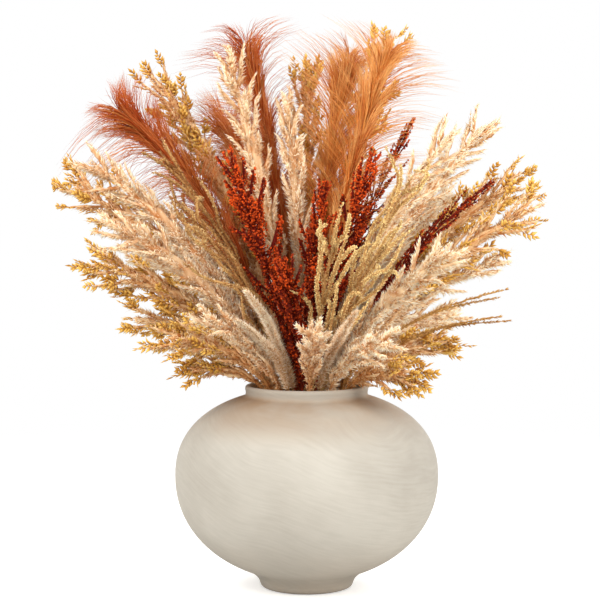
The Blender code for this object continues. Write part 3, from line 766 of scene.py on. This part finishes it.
# Sorghum: round grains packed on short thick lobes. Its reaches and lights are one for each head
sorghumHead = {
    "lobes": 70, "ahead": 0.034, "lobe": 0.22, "thinnest": 0.0036, "core": 0.36, "grainsEach": 0.040,
    "grain": (0.0013, 0.0020), "below": 0.034, "fullTone": 0.8, "stalk": 0.0008, "patches": 0.05,
    "firstStem": 10, "leastReach": (0.019, 0.015, 0.023, 0.021, 0.010, 0.009, 0.015),
    "lights": (0.50, 0.34, 0.52, 0.48, 0.52, 0.12, 0.40),
}


def makeSorghum(bundle, line, seed):
    setting, draw = sorghumHead, bundle.draw
    lobes, number = setting["lobes"], seed - setting["firstStem"]
    stalk(bundle, line, setting["stalk"])
    u = spacedOut(draw, lobes)
    s = line.start - setting["below"] + (line.span + setting["below"]) * u
    angle = goldenTurns(draw, lobes, 0.3)
    ahead = setting["ahead"] * draw.uniform(0.7, 1.4, lobes)
    ahead = np.minimum(ahead, (line.length + 0.010 - s) * draw.uniform(0.55, 1.0, lobes))
    full = min(1.0, stemPlan[seed][4] / setting["fullTone"])
    taper = 1.0 - 0.65 * smooth((u - 0.62) / 0.38)
    least = setting["leastReach"][number] * smooth(u / 0.4)
    reach = np.maximum(line.roomAt(s + ahead * 0.6), least) * taper
    thinnest = setting["thinnest"] * mix(0.5, 1.0, full) * mix(1.0, taper, 0.7)
    lobe = np.maximum(setting["lobe"] * reach * full, thinnest) * draw.uniform(0.7, 1.25, lobes)
    out = np.maximum(reach * draw.uniform(0.45, 1.5, lobes) - lobe, 0.0012)
    twist = draw.uniform(-0.3, 0.3, lobes)
    path = branchlets(line, s, angle, ahead, out, np.minimum(out, 0.002), 0.7, twist, 5)
    shape = np.array([0.55, 0.95, 1.0, 0.8, 0.35])
    core = setting["core"] * lobe[:, None] * shape
    bundle.sweep(path, core, 0.1, "stalk", np.linspace(0.6, 0.9, 5), 5)
    area = math.tau * lobe * (ahead + 0.01)
    count = int(setting["grainsEach"] * area.sum() * 1e6)
    which = draw.choice(lobes, size=count, p=area / area.sum())
    t = draw.uniform(0, 1, count) ** 0.85
    centre, heading = onPath(path, which, t)
    outward = turnedOut(line, centre, aside(draw, heading), -0.35)
    under = lobe[which] * np.interp(t, np.linspace(0, 1, 5), shape)
    root = centre + outward * (under * draw.uniform(0.45, 1.12, count))[:, None]
    depth = np.linalg.norm(root - centre, axis=1) / under
    wave = patchy(seed, setting["patches"])
    # grains are lighter towards the head's top; grains set deeper in a lobe are darker, which is painted
    # shade among the grains
    tone = setting["lights"][number] * (u[which] + 0.6 * wave(root)) + 0.7 * (depth - 0.72)
    size = draw.uniform(*setting["grain"], count) * mix(0.8, 1.0, full)
    grains(bundle, root, unit(heading + outward), size, tone + draw.normal(0, 0.26, count))
    sheath(bundle, line)


# Seed strands: long limp strings, rough with small seeds. Their tones are one for each bunch
strandHead = {
    "strings": 10, "ahead": (0.080, 0.135), "body": 0.0017, "wander": 0.0100, "sag": 0.40, "husks": 2600,
    "husk": ((0.0022, 0.0042), (0.0006, 0.0010), (35, 80)), "grains": 700,
    "grain": (0.0010, 0.0015), "below": 0.045, "longer": 0.030, "stalk": 0.0008, "firstStem": 17,
    # rim and inner are the strengths of painted shade near the rim and near the stalk
    "tones": (0.18, 0.24, 0.84, 0.86, 0.80, 0.40), "patches": 0.06, "rim": 0.6, "rimAbove": 0.03,
    "inner": 0.5, "stalkShadeReach": 0.016,
}


def makeStrands(bundle, line, seed):
    setting, draw, steps = strandHead, bundle.draw, 9
    strings, base = setting["strings"], setting["tones"][seed - setting["firstStem"]]
    stalk(bundle, line, setting["stalk"])
    turns = np.arange(strings) + draw.uniform(0, 1, strings)
    s = line.start - setting["below"] + (line.span + setting["longer"]) * turns / strings
    angle = goldenTurns(draw, strings, 0.4)
    ahead, width = aheadOf(line, s, draw.uniform(*setting["ahead"], strings))
    out = line.roomAt(s + ahead) * width * draw.uniform(0.70, 1.35, strings)
    twist = draw.uniform(-0.6, 0.6, strings)
    path = branchlets(line, s, angle, ahead, out, np.full(strings, 0.0015), 0.65, twist, steps)
    path = path + wander(draw, strings, steps, setting["wander"])
    path[..., 2] -= setting["sag"] * out[:, None] * np.linspace(0, 1, steps)[None] ** 3
    path = np.concatenate([path, line.centre(np.linspace(line.start - 0.01, line.length, steps))])
    body = setting["body"] * np.array([0.7, 1, 1, 1, 1, 0.95, 0.85, 0.7, 0.4])
    bundle.sweep(path, body, 0.3, "fluff", np.linspace(0, 0.5, steps), 5)
    wave = patchy(seed, setting["patches"])

    def tone(root, t):
        light = base + 0.3 * wave(root) + draw.normal(0, 0.26, len(root))
        # painted shade darkens the husks down by the rim and close to the stalk
        light = light - setting["rim"] * rimShade(root[:, 2] - setting["rimAbove"], creamHead["shadeHeight"])
        return light - setting["inner"] * nearStalkShade(line, root, setting["stalkShadeReach"])

    fibres(bundle, path, body, setting["husks"], setting["husk"], tone)
    which = draw.integers(0, strings + 1, setting["grains"])
    t = draw.uniform(0, 1, len(which))
    centre, heading = onPath(path, which, t)
    outward = aside(draw, heading)
    root = centre + outward * (np.interp(t, np.linspace(0, 1, steps), body) + 0.0008)[:, None]
    size = draw.uniform(*setting["grain"], len(which))
    grains(bundle, root, unit(heading * 1.5 + outward), size, tone(root, t))
    sheath(bundle, line)


# Twigs: wiry side shoots with small buds
twigHead = {
    "shoots": 2, "ahead": (0.070, 0.095), "shoot": 0.0011, "buds": 480,
    "bud": ((0.0030, 0.0058), (0.0007, 0.0012), (20, 65)), "stalk": 0.0006,
}


def makeTwig(bundle, line, seed):
    setting, draw, steps = twigHead, bundle.draw, 8
    shoots = setting["shoots"]
    stalk(bundle, line, setting["stalk"])
    s = line.start + line.span * np.linspace(0.15, 0.50, shoots)
    angle = np.arange(shoots) * goldenAngle + draw.uniform(0, math.tau)
    ahead, _ = aheadOf(line, s, draw.uniform(*setting["ahead"], shoots))
    out = line.roomAt(s + ahead) * draw.uniform(0.8, 0.98, shoots)
    twist = draw.uniform(-0.2, 0.2, shoots)
    path = branchlets(line, s, angle, ahead, out, np.full(shoots, 0.001), 0.9, twist, steps)
    thin = setting["shoot"] * np.linspace(1.0, 0.35, steps)
    bundle.sweep(path, thin, 0.5, "stalk", np.linspace(0.5, 1, steps), 5)
    main = line.centre(np.linspace(line.start, line.length, steps))
    path = np.concatenate([path, main, main])
    fibres(bundle, path, thin, setting["buds"], setting["bud"], lambda root, t: draw.uniform(0, 1, len(root)))
    sheath(bundle, line)


# Soft tails: narrow and dense, hairs all leaning forward
tailHead = {
    "florets": 2300, "floret": ((0.0050, 0.0095), (0.0008, 0.0014), (22, 75)), "finerHair": 0.50,
    "hair": ((0.009, 0.015), (0.00014, 0.00024), (22, 75)), "below": 0.024,
    # rim is the strength of the painted shade down by the vase's rim
    "wander": 0.0040, "body": 0.36, "tone": 0.62, "rim": 0.3, "patches": 0.05, "stalk": 0.0008,
}


def makeTail(bundle, line, seed):
    setting, draw, steps = tailHead, bundle.draw, 30
    stalk(bundle, line, setting["stalk"])
    s = np.linspace(line.start - setting["below"], line.length + 0.004, steps)
    path = line.centre(s) + wander(draw, 1, steps, setting["wander"])
    taper = np.sin(math.pi * np.linspace(0.10, 0.99, steps)) ** 0.8
    body = setting["body"] * line.roomAt(np.minimum(s, line.length)) * taper
    body = body * np.repeat(draw.uniform(0.70, 1.25, 10), 3)
    bundle.sweep(path, body, 0.5, "fluff", 0.25, 11, mottle=0.26, rough=0.18)
    wave = patchy(seed, setting["patches"])

    def tone(root, t):
        light = setting["tone"] + 0.3 * wave(root) + draw.normal(0, 0.25, len(root))
        # darker down by the rim: painted shade
        return light - setting["rim"] * rimShade(root[:, 2], creamHead["shadeHeight"])

    fluff(bundle, path, body, setting, setting["florets"], tone)


headMakers = {
    "cream_plume": makeCream, "gold_plume": makeGold, "hair_plume": makeHair, "sorghum": makeSorghum,
    "seed_strands": makeStrands, "twig": makeTwig, "soft_tail": makeTail,
}


# Finishes. Nodes are added with their options set first and then their inputs, by name or number
def setInputs(node, values):
    for name, value in values.items():
        node.inputs[name].default_value = value


def nodeTools(tree):
    def add(kind, inputs=None, **options):
        node = tree.nodes.new(kind)
        for name, value in options.items():
            setattr(node, name, value)
        setInputs(node, inputs or {})
        return node

    def join(*wires):
        # each wire is a node, its output, the node that this goes to and the input there
        for source, output, target, entry in wires:
            tree.links.new(source.outputs[output], target.inputs[entry])

    return add, join


def addRamp(add, stops, blending="LINEAR"):
    # stops are (position, colour); the first and the last take the two that a new ramp has
    ramp = add("ShaderNodeValToRGB")
    ramp.color_ramp.interpolation = blending
    elements = ramp.color_ramp.elements
    elements[0].position, elements[0].color = stops[0]
    elements[1].position, elements[1].color = stops[-1]
    for position, colour in stops[1:-1]:
        elements.new(position).color = colour
    return ramp


def newMaterial(name):
    made = bpy.data.materials.new(name)
    made.use_nodes = True
    return made, made.node_tree.nodes["Principled BSDF"], *nodeTools(made.node_tree)


# Fine streaks along every hair and grain, as a colour and as a roughness. "from" is the range of the noise
# that they take in, and "polish" how much smoother the lightest are
grainPattern = {"stretch": (14.0, 2.5, 1.0), "detail": 3, "from": (0.3, 0.7), "polish": 0.06}
grainAmounts = ("Streaks", "Contrast", "Roughness")


def fibreGrainGroup(pattern):
    group = bpy.data.node_groups.new("fibreGrain", "ShaderNodeTree")
    sockets = {
        "INPUT": [("Colour", "Color"), ("Place", "Vector"), *((name, "Float") for name in grainAmounts)],
        "OUTPUT": [("Colour", "Color"), ("Roughness", "Float")],
    }
    for way, ofWay in sockets.items():
        for name, kind in ofWay:
            group.interface.new_socket(name=name, in_out=way, socket_type="NodeSocket" + kind)
    given, result = group.nodes.new("NodeGroupInput"), group.nodes.new("NodeGroupOutput")
    add, join = nodeTools(group)
    stretch = add("ShaderNodeVectorMath", {1: pattern["stretch"]}, operation="MULTIPLY")
    noise = add("ShaderNodeTexNoise", {"Detail": pattern["detail"]})
    low, high = pattern["from"]
    spread = add("ShaderNodeMapRange", {"From Min": low, "From Max": high, "To Min": -1.0, "To Max": 1.0})
    amount = add("ShaderNodeMath", {2: 1.0}, operation="MULTIPLY_ADD")
    tinted = add("ShaderNodeVectorMath", operation="SCALE")
    rough = add("ShaderNodeMath", {1: -pattern["polish"]}, operation="MULTIPLY_ADD")
    join(
        (given, "Place", stretch, 0), (stretch, 0, noise, "Vector"), (given, "Streaks", noise, "Scale"),
        (noise, "Fac", spread, "Value"), (spread, 0, amount, 0), (given, "Contrast", amount, 1),
        (given, "Colour", tinted, 0), (amount, 0, tinted, "Scale"), (tinted, 0, result, "Colour"),
        (spread, 0, rough, 0), (given, "Roughness", rough, 2), (rough, 0, result, "Roughness"),
    )
    return group


fibreGrain = fibreGrainGroup(grainPattern)

# Colours of each finish as (share from root to tip, colour), for its darkest and its lightest hairs
plantLooks = {
    "cream_fluff": {
        "stalk": ([(0, (150, 100, 52))], [(0, (205, 160, 104))]),
        # the darker colours at the root are painted shade, where the florets crowd
        "fluff": (
            [(0, (162, 88, 34)), (0.35, (198, 130, 70)), (1, (228, 178, 116))],
            [(0, (242, 190, 128)), (0.35, (255, 234, 194)), (1, (255, 252, 238))],
        ),
        "roughness": 0.85, "shine": 0.15, "sheen": 0.08, "streaks": 3.0, "contrast": 0.08,
    },
    "gold_spikelets": {
        "stalk": ([(0, (140, 92, 42))], [(0, (196, 148, 82))]),
        # the darker colours at the root are painted shade, where the florets crowd
        "fluff": (
            [(0, (162, 86, 30)), (0.35, (202, 132, 68)), (1, (236, 192, 132))],
            [(0, (236, 176, 106)), (0.35, (254, 226, 176)), (1, (255, 248, 226))],
        ),
        "leaf": (
            [(0, (146, 86, 18)), (0.5, (182, 120, 32)), (1, (206, 146, 54))],
            [(0, (212, 150, 52)), (0.5, (238, 186, 84)), (1, (252, 218, 132))],
        ),
        "roughness": 0.75, "shine": 0.2, "sheen": 0.05, "streaks": 3.0, "contrast": 0.10,
    },
    "rust_hair": {
        "stalk": ([(0, (110, 36, 12))], [(0, (160, 70, 26))]),
        "fluff": (
            [(0, (128, 36, 4)), (0.4, (174, 62, 12)), (1, (198, 90, 30))],
            [(0, (240, 128, 46)), (0.4, (252, 174, 86)), (1, (255, 206, 132))],
        ),
        "roughness": 0.60, "shine": 0.2, "sheen": 0.0, "streaks": 4.0, "contrast": 0.12,
    },
    "sorghum_seed": {
        "stalk": ([(0, (120, 74, 32)), (0.5, (104, 16, 6))], [(0, (170, 118, 64)), (0.5, (140, 30, 10))]),
        "fluff": ([(0, (70, 8, 3)), (1, (98, 14, 5))], [(0, (236, 72, 15)), (1, (252, 104, 30))]),
        "roughness": 0.55, "shine": 0.15, "sheen": 0.0, "streaks": 5.0, "contrast": 0.12,
    },
    "tan_seed": {
        "stalk": ([(0, (140, 100, 48))], [(0, (190, 150, 86))]),
        "fluff": ([(0, (138, 74, 22)), (1, (174, 112, 46))], [(0, (250, 204, 122)), (1, (255, 236, 172))]),
        "roughness": 0.75, "shine": 0.25, "sheen": 0.1, "streaks": 5.0, "contrast": 0.12,
    },
    "tan_twig": {
        "stalk": ([(0, (140, 96, 46))], [(0, (196, 150, 88))]),
        "fluff": ([(0, (134, 78, 28)), (1, (176, 112, 46))], [(0, (206, 150, 78)), (1, (230, 186, 112))]),
        "roughness": 0.75, "shine": 0.25, "sheen": 0.0, "streaks": 5.0, "contrast": 0.15,
    },
}


def bandStops(look, which):
    # the stops of one ramp through all the bands that a look has, each band level at its end
    stops = []
    for band in bands:
        inBand = look[band][which] if band in look else []
        stops += [(placeIn(band, share), shade(*colour)) for share, colour in inBand]
        stops += [(placeIn(band, 1.0), shade(*colour)) for _, colour in inBand[-1:]]
    return stops


def plantMaterial(name):
    look = plantLooks[name]
    made, shader, add, join = newMaterial(name + "Look")
    chart = add("ShaderNodeUVMap", uv_map="OFBake")
    parts = add("ShaderNodeSeparateXYZ")
    dark, light = (addRamp(add, bandStops(look, which)) for which in (0, 1))
    blend = add("ShaderNodeMix", data_type="RGBA")
    grain = add("ShaderNodeGroup", node_tree=fibreGrain)
    setInputs(grain, {amount: look[amount.lower()] for amount in grainAmounts})
    setInputs(shader, {"Sheen Weight": look["sheen"], "Specular IOR Level": look["shine"]})
    join(
        (chart, 0, parts, 0), (parts, "Y", dark, 0), (parts, "Y", light, 0), (parts, "X", blend, "Factor"),
        (dark, "Color", blend, "A"), (light, "Color", blend, "B"), (blend, "Result", grain, "Colour"),
        (chart, 0, grain, "Place"), (grain, "Colour", shader, "Base Color"),
        (grain, "Roughness", shader, "Roughness"),
    )
    return made


# The stone's patterns are each a scale and a detail: bends in the strokes, strokes, clouds and grit.
# The warm tint is (share of the height, strength): under the collar it is a stain, and down at the foot it is
# painted shade
stoneLook = {
    "light": (180, 174, 162), "dark": (164, 157, 145), "warm": (146, 119, 90), "roughness": 0.82,
    "polish": 0.06, "patterns": ((6.0, 1), (3.2, 5), (9.0, 4), (420.0, 2)), "bend": 0.07,
    "slant": (12, 18, 0), "stretch": (1 / 9, 1 / 9, 1 / 110), "cloudShare": 0.72,
    "bodySpread": (0.36, 0.62), "warmSpread": (0.34, 0.60), "gritShare": 0.35, "bump": 0.30,
    "bumpDepth": 0.0006,
    # the low stops darken the foot with painted shade, the high ones lay a stain under the collar
    "stainAndFootShadeAt": (
        (0.0, 0.40), (0.10, 0.22), (0.35, 0.0), (0.74, 0.0), (0.89, 0.55), (0.945, 0.95), (0.97, 0.40),
        (1.0, 0.40),
    ),
}


def stoneMaterial(look):
    made, shader, add, join = newMaterial("rubbedStone")
    place = add("ShaderNodeTexCoord")
    bends, streaks, clouds, grit = (
        add("ShaderNodeTexNoise", {"Scale": scale, "Detail": detail}) for scale, detail in look["patterns"]
    )
    swirled = add("ShaderNodeVectorMath", {1: [look["bend"]] * 3}, operation="MULTIPLY_ADD")
    # a mapping of this type turns before it stretches
    turned = {"Rotation": [math.radians(angle) for angle in look["slant"]], "Scale": look["stretch"]}
    slanted = add("ShaderNodeMapping", turned, vector_type="TEXTURE")
    both = add("ShaderNodeMix", {"Factor": look["cloudShare"]})
    spread, patches = (
        add("ShaderNodeMapRange", {"From Min": low, "From Max": high})
        for low, high in (look["bodySpread"], look["warmSpread"])
    )
    body = add("ShaderNodeMix", {"A": shade(*look["dark"]), "B": shade(*look["light"])}, data_type="RGBA")
    split = add("ShaderNodeSeparateXYZ")
    height = add("ShaderNodeMapRange", {"From Max": vaseShape["height"]})
    ends = addRamp(add, [(share, (amount, amount, amount, 1.0)) for share, amount in look["stainAndFootShadeAt"]], "EASE")
    # the warm tint in patches: a stain under the collar and painted shade at the foot
    stainAndShadeMask = add("ShaderNodeMath", operation="MULTIPLY")
    warm = add("ShaderNodeMix", {"B": shade(*look["warm"])}, data_type="RGBA")
    middle, polish = look["roughness"], look["polish"]
    rough = add("ShaderNodeMapRange", {"To Min": middle + polish, "To Max": middle - polish})
    relief = add("ShaderNodeMix", {"Factor": look["gritShare"]})
    bump = add("ShaderNodeBump", {"Strength": look["bump"], "Distance": look["bumpDepth"]})
    join(
        (place, "Object", bends, "Vector"), (bends, "Color", swirled, 0), (place, "Object", swirled, 2),
        (swirled, 0, slanted, 0), (slanted, 0, streaks, "Vector"), (place, "Object", clouds, "Vector"),
        (place, "Object", grit, "Vector"), (streaks, "Fac", both, "A"), (clouds, "Fac", both, "B"),
        (both, "Result", spread, "Value"), (spread, 0, body, "Factor"), (place, "Object", split, 0),
        (split, "Z", height, "Value"), (height, 0, ends, 0), (ends, "Color", stainAndShadeMask, 0),
        (clouds, "Fac", patches, "Value"), (patches, 0, stainAndShadeMask, 1), (stainAndShadeMask, 0, warm, "Factor"),
        (body, "Result", warm, "A"), (warm, "Result", shader, "Base Color"), (spread, 0, rough, "Value"),
        (rough, 0, shader, "Roughness"), (streaks, "Fac", relief, "A"), (grit, "Fac", relief, "B"),
        (relief, "Result", bump, "Height"), (bump, 0, shader, "Normal"),
    )
    return made


foamLook = {
    "dark": (70, 44, 24), "light": (122, 84, 50), "pores": 260.0, "poreDepth": 0.6, "roughness": 0.95,
    "bumpDepth": 0.001,
}


def foamMaterial(look):
    made, shader, add, join = newMaterial("floristFoam")
    place = add("ShaderNodeTexCoord")
    pores = add("ShaderNodeTexVoronoi", {"Scale": look["pores"]})
    spread = add("ShaderNodeMapRange", {"From Max": look["poreDepth"]})
    colour = add("ShaderNodeMix", {"A": shade(*look["dark"]), "B": shade(*look["light"])}, data_type="RGBA")
    bump = add("ShaderNodeBump", {"Distance": look["bumpDepth"]})
    setInputs(shader, {"Roughness": look["roughness"]})
    join(
        (place, "Object", pores, "Vector"), (pores, "Distance", spread, "Value"),
        (spread, 0, colour, "Factor"), (colour, "Result", shader, "Base Color"),
        (pores, "Distance", bump, "Height"), (bump, 0, shader, "Normal"),
    )
    return made


# Putting it together
vase = makeVase(vaseShape)
vase.data.materials.append(stoneMaterial(stoneLook))
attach(vase, "root")
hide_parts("vase")
print("vase turned")

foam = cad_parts["foam"]
for number in range(len(foam.material_slots)):
    foam.material_slots[number].material = foamMaterial(foamLook)
print("foam coloured")

stemLines = [stemLine(stem, hole) for stem, hole in zip(stemPlan, foamHoles())]
shareRoom(stemLines)
print("stems laid out")

looksMade = {name: plantMaterial(name) for name in plantLooks}
counted = {}
for seed, (stem, line) in enumerate(zip(stemPlan, stemLines)):
    kind = stem[0]
    counted[kind] = counted.get(kind, 0) + 1
    node = f"{kind}_{counted[kind]}"
    bundle = Bundle(seed)
    headMakers[kind](bundle, line, seed)
    piece = bundle.make(node + "_dressed", looksMade[headKinds[kind]["finish"]])
    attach(piece, "root")
    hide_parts(node)
print("stems dressed:", counted)


# Floor and light
studio = {
    "floorRadius": 2.2, "floorBelow": 0.0005, "floorColour": (228, 227, 225), "floorRoughness": 0.9,
    "floorShine": 0.2, "floorGlow": 0.60, "fadeFrom": 0.5, "fadeTo": 1.6, "skyForCamera": 1.0,
    "skyForLight": 0.78,
}
lamps = {
    "key": {"place": (-2.1, -2.1, 2.3), "aim": (0, 0, 0.35), "size": 1.8, "power": 102},
    "fill": {"place": (2.4, -1.7, 1.7), "aim": (0, 0, 0.45), "size": 2.0, "power": 76},
    "back": {"place": (0.6, 2.4, 2.0), "aim": (0, 0, 0.5), "size": 1.8, "power": 42},
}


def makeFloor(setting):
    mesh = bpy.data.meshes.new("studioFloor")
    radius, sides = setting["floorRadius"], 96
    turns = np.linspace(0, math.tau, sides, endpoint=False)
    rim = [(radius * math.cos(a), radius * math.sin(a), 0.0) for a in turns]
    mesh.from_pydata(rim, [], [tuple(range(sides))])
    floor = addObject("studioFloor", mesh)
    floor.location.z = -setting["floorBelow"]
    made, shader, add, join = newMaterial("paleFloor")
    colour = shade(*setting["floorColour"])
    setInputs(shader, {"Base Color": colour, "Emission Color": colour})
    setInputs(shader, {"Roughness": setting["floorRoughness"], "Specular IOR Level": setting["floorShine"]})
    # the floor looks whiter than it is, and throws no glow on the vase
    ray = add("ShaderNodeLightPath")
    glow = add("ShaderNodeMath", {1: setting["floorGlow"]}, operation="MULTIPLY")
    place = add("ShaderNodeTexCoord")
    out = add("ShaderNodeVectorMath", operation="LENGTH")
    reach = {"From Min": setting["fadeTo"], "From Max": setting["fadeFrom"]}
    fade = add("ShaderNodeMapRange", reach, interpolation_type="SMOOTHSTEP")
    join(
        (ray, "Is Camera Ray", glow, 0), (glow, 0, shader, "Emission Strength"), (place, "Object", out, 0),
        (out, "Value", fade, "Value"), (fade, 0, shader, "Alpha"),
    )
    mesh.materials.append(made)


def makeSky(setting):
    world = bpy.data.worlds.new("studioSky")
    bpy.context.scene.world = world
    world.use_nodes = True
    world.node_tree.nodes.clear()
    add, join = nodeTools(world.node_tree)
    ray = add("ShaderNodeLightPath")
    strength = add("ShaderNodeMix", {"A": setting["skyForLight"], "B": setting["skyForCamera"]})
    sky = add("ShaderNodeBackground", {"Color": (1, 1, 1, 1)})
    out = add("ShaderNodeOutputWorld")
    join(
        (ray, "Is Camera Ray", strength, "Factor"), (strength, "Result", sky, "Strength"),
        (sky, 0, out, "Surface"),
    )


def makeLamps(setting):
    for name, lamp in setting.items():
        data = bpy.data.lights.new(name + "Light", "AREA")
        data.shape = "SQUARE"
        data.size = lamp["size"]
        data.energy = lamp["power"]
        light = addObject(name + "Light", data)
        light.location = lamp["place"]
        towards = unit(np.array(lamp["aim"]) - np.array(lamp["place"]))
        light.rotation_euler = (math.acos(-towards[2]), 0, math.atan2(towards[1], towards[0]) - math.pi / 2)


makeFloor(studio)
makeSky(studio)
makeLamps(lamps)
bpy.context.scene.view_settings.view_transform = "Standard"
print("floor and lights set")
